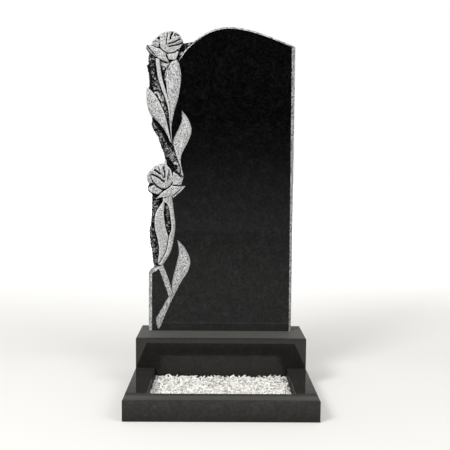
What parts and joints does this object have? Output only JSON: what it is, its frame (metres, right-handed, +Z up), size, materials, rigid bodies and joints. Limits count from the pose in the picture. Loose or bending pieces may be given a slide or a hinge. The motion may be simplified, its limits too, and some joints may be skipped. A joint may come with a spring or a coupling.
{
  "type": "headstone",
  "caption": "Upright carved granite headstone with roses on its left edge, on a plinth, with a low kerb round a bed of marble chips.",
  "frame": {"origin": "middle of the footprint of plinth and kerb, on the ground", "axes": "+Z up, the polished and carved face looks towards -Y, +X to its right as the viewer sees it"},
  "size_m": [0.6, 0.535, 1.2703],
  "materials": {
    "carved_granite": "polished face, hammered leaves and petals, broken rock",
    "polished_granite": "polished",
    "marble_chips": "crushed"
  },
  "bodies": {
    "root": {"stele": "carved_granite", "plinth": "polished_granite", "kerb_front": "polished_granite", "kerb_left": "polished_granite", "kerb_right": "polished_granite", "gravel_bed": "marble_chips"}
  },
  "joints": []
}
